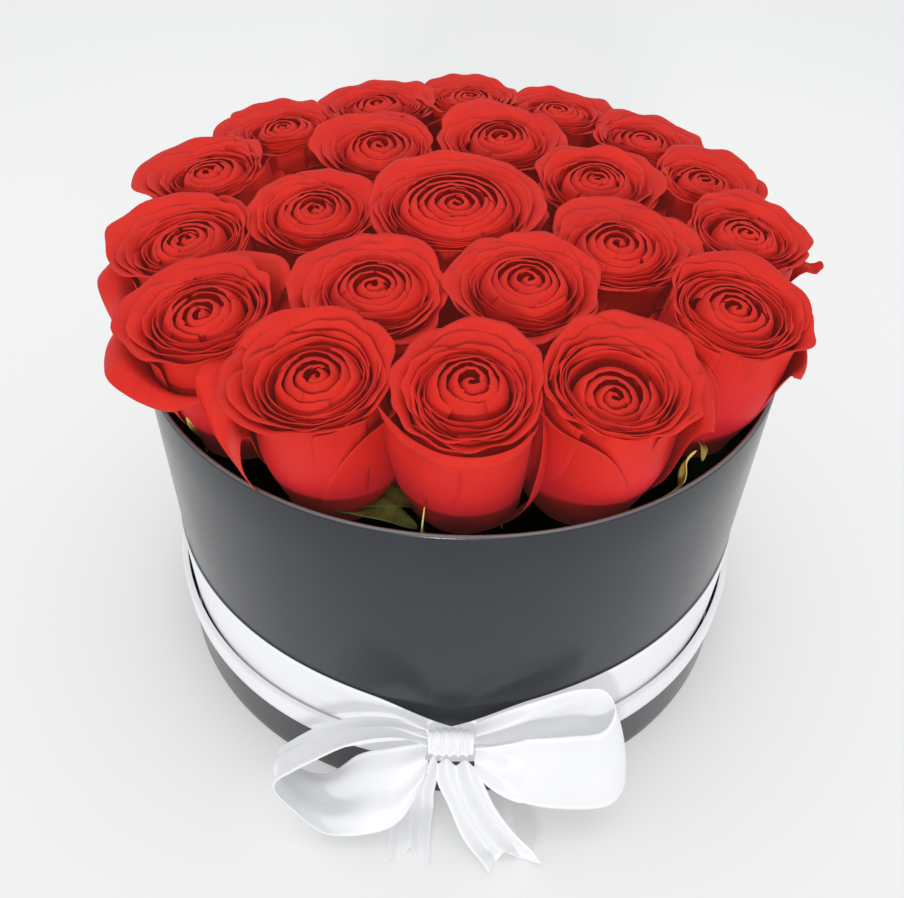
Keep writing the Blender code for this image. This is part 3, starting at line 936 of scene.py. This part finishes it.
def swept_ribbon(stations, ends, bulge, notch):
    """The ribbon between its two edge lines, in folds as deep as its full width needs.

    ends is how tightly it is gathered at its two ends. bulge crowns its middle out and notch cuts a
    swallow tail into its end, both in millimetres.
    """
    rows, columns = 12 * (len(stations) - 1) + 1, 33
    far = along_spline([s[0] for s in stations], np.linspace(0, 1, rows)) * MM
    near = along_spline([s[1] for s in stations], np.linspace(0, 1, rows)) * MM
    s = np.linspace(0, 1, columns)[None, :, None]
    grid = far[:, None] * (1 - s) + near[:, None] * s
    ahead = np.gradient((far + near) / 2, axis=0)
    normal = np.cross(ahead, near - far)
    normal = normal / np.maximum(np.linalg.norm(normal, axis=1, keepdims=True), 1e-9)
    t = np.linspace(0, 1, rows)[:, None]
    gather = np.maximum(ends[0] * np.exp(-t / GATHERED), ends[1] * np.exp(-(1 - t) / GATHERED))
    flat_s = np.linspace(0, 1, columns)[None, :]
    width = np.linalg.norm(near - far, axis=1)[:, None]
    spare = np.sqrt(np.maximum(RIBBON_WIDTH / width - 1, 0.0)) * width / (math.pi * FOLDS)
    deep = np.minimum(spare, DEEPEST_FOLD) * (0.80 + 0.20 * gather)
    folds = np.sin(math.tau * FOLDS * flat_s + 1.6 + 0.7 * np.sin(4 * t)) * deep
    crown = bulge * MM * 4 * flat_s * (1 - flat_s) * np.sin(math.pi * t)
    grid = grid + normal[:, None] * (folds + crown)[..., None]
    if notch:
        reach = (notch * MM * (np.abs(2 * flat_s - 1) - 1) * smooth((t - 0.80) / 0.20))[..., None]
        forward = ahead / np.maximum(np.linalg.norm(ahead, axis=1, keepdims=True), 1e-9)
        grid = grid + forward[:, None] * reach
    grid[..., 2] = np.maximum(grid[..., 2], LOWEST_SATIN)
    return grid


def band_radius(a, s):
    """The wide band's radius: it steps out over the bow's fold, gathers there and slackens elsewhere."""
    off = np.degrees(np.abs(a))
    step_out = 0.003 * smooth((14 - off) / 14)
    gather = np.exp(-off / 12.0)
    folds = 0.0011 * gather * (1 + np.sin(math.tau * 2.6 * s + 0.6))
    slack = 0.00035 * (1 + np.sin(9 * a + 2)) * np.sin(math.pi * s)
    return BOX_RADIUS + BAND_CLEARANCE + step_out + folds + slack


def band_low(a):
    """The band's lower edge, drawn up towards the bow."""
    return RIBBON_LOW + 0.005 * smooth((20 - np.degrees(np.abs(a))) / 11)


def band_high(a):
    """The band's upper edge, drawn down towards the bow."""
    return RIBBON_LOW + RIBBON_WIDTH - 0.0155 * np.exp(-np.degrees(np.abs(a)) / 16)


def finish_bow_piece(shells, satin, node):
    piece = shells.build(node + "_visual", satin)
    place_piece(piece, "hat_box", node)


# The bow's pieces: node, edges, gathering at both ends, bulge, notch, how it is held.
BOW = (
    ("bow_loop_left", LOOP_LEFT, (1.0, 1.0), 1.2, 0.0, "gathered"),
    ("bow_loop_right", LOOP_RIGHT, (0.9, 1.0), 1.6, 0.0, "gathered"),
    ("bow_tail_left", TAIL_LEFT, (0.6, 0.6), 0.4, 6.0, "hung"),
    ("bow_tail_right", TAIL_RIGHT, (0.8, 0.6), 0.8, 7.0, "hung"),
)


def make_bow(satin):
    shells = Shells()
    shells.add(band_grid(band_radius, band_low, band_high, 360, 25), SATIN_THICK, wrap=True)
    finish_bow_piece(shells, satin, "ribbon_band")
    for node, stations, ends, bulge, notch, held in BOW:
        shells = Shells()
        grid = swept_ribbon(stations, ends, bulge, notch)
        shells.add(grid, SATIN_THICK)
        finish_bow_piece(shells, satin, node)
    make_knot(satin)


# The knot: half its size along each axis and its middle at y and z, in metres.
KNOT_HALF = (8.4, 4.2, 7.2)
KNOT_Y = -133.7
KNOT_Z = 47.0


def make_knot(satin):
    """The ribbon's crossing turn, drawn tight over the middle of the bow in soft pleats."""
    shells = Shells()
    around = np.linspace(0, math.tau, 72, endpoint=False)[:, None]
    s = np.linspace(-1, 1, 81)[None, :]
    waist = 0.92 - 0.10 * s ** 4
    folds = np.cos(math.tau * 2.9 * (s + 0.06 * np.sin(2 * around)) + 0.5)
    folds = folds + 0.4 * np.cos(math.tau * 5.1 * s + 1.2)
    pleats = 1 + 0.13 * folds * (1 - 0.6 * s ** 4)
    wide, deep, tall = KNOT_HALF
    x = wide * s + 0.5 * np.sin(around) * (1 - s * s)
    y = KNOT_Y - deep * np.cos(around) * waist * pleats
    z = KNOT_Z + tall * np.sin(around) * (0.93 - 0.14 * s ** 4) * (1 + 0.2 * (pleats - 1))
    shells.add(np.stack([x * np.ones_like(z), y, z], -1) * MM, SATIN_THICK, wrap=True)
    knot = shells.build("bow_knot_visual", satin)
    place_piece(knot, "hat_box", "bow_knot")


# ---------- stage

def make_stage():
    """A large floor just under the box, so that their faces don't meet."""
    mesh = bpy.data.meshes.new("floor")
    side = 6.0
    corners = [(x * side, y * side, 0) for x, y in ((-1, -1), (1, -1), (1, 1), (-1, 1))]
    mesh.from_pydata(corners, [], [(0, 1, 2, 3)])
    floor = add_object("floor", mesh)
    floor.location.z = -0.0002
    mesh.materials.append(floor_material())


def area_light(name, place, target, size, power, colour):
    light = bpy.data.lights.new(name, "AREA")
    light.shape = "DISK"
    light.size = size
    light.energy = power
    light.color = colour
    item = add_object(name, light)
    item.location = place
    item.rotation_mode = "QUATERNION"
    item.rotation_quaternion = (Vector(target) - Vector(place)).to_track_quat("-Z", "Y")


def make_light():
    """A bright white room, a key light far off at the front and a wide soft one overhead."""
    world = bpy.data.worlds.new("studio")
    bpy.context.scene.world = world
    world.use_nodes = True
    background = world.node_tree.nodes["Background"]
    background.inputs["Color"].default_value = (0.975, 0.985, 1.0, 1.0)
    background.inputs["Strength"].default_value = 0.75
    area_light("front_key", (-0.30, -4.00, 1.00), (0.0, -0.05, 0.14), 0.60, 72.0, (1.0, 0.99, 0.98))
    area_light("overhead", (0.0, 0.10, 1.9), (0.0, 0.0, 0.1), 1.8, 11.0, (1.0, 1.0, 1.0))
    bpy.context.scene.view_settings.view_transform = "Standard"


# The camera: where it stands, what it looks at, its roll in degrees and its lens in millimetres.
CAMERA_PLACE = Vector((-0.00256, -0.31435, 0.35958))
CAMERA_TARGET = Vector((-0.00256, 0.0, 0.07254))
CAMERA_ROLL = 1.54
CAMERA_LENS = 36.84


def make_camera():
    data = bpy.data.cameras.new("camera")
    data.lens = CAMERA_LENS
    data.sensor_width = 36.0
    data.clip_start = 0.01
    camera = add_object("camera", data)
    facing = (CAMERA_TARGET - CAMERA_PLACE).to_track_quat("-Z", "Y").to_matrix().to_4x4()
    roll = Matrix.Rotation(math.radians(CAMERA_ROLL), 4, "Z")
    camera.matrix_world = Matrix.Translation(CAMERA_PLACE) @ facing @ roll
    bpy.context.scene.camera = camera


def main():
    petals = petal_material()
    green = stem_material()
    paper = paper_material()
    satin = satin_material()
    make_roses(petals, green)
    make_box(paper, satin)
    make_bow(satin)
    give_material("liner_cup", film_material())
    give_material("floral_foam", foam_material())
    make_stage()
    make_light()
    make_camera()


main()
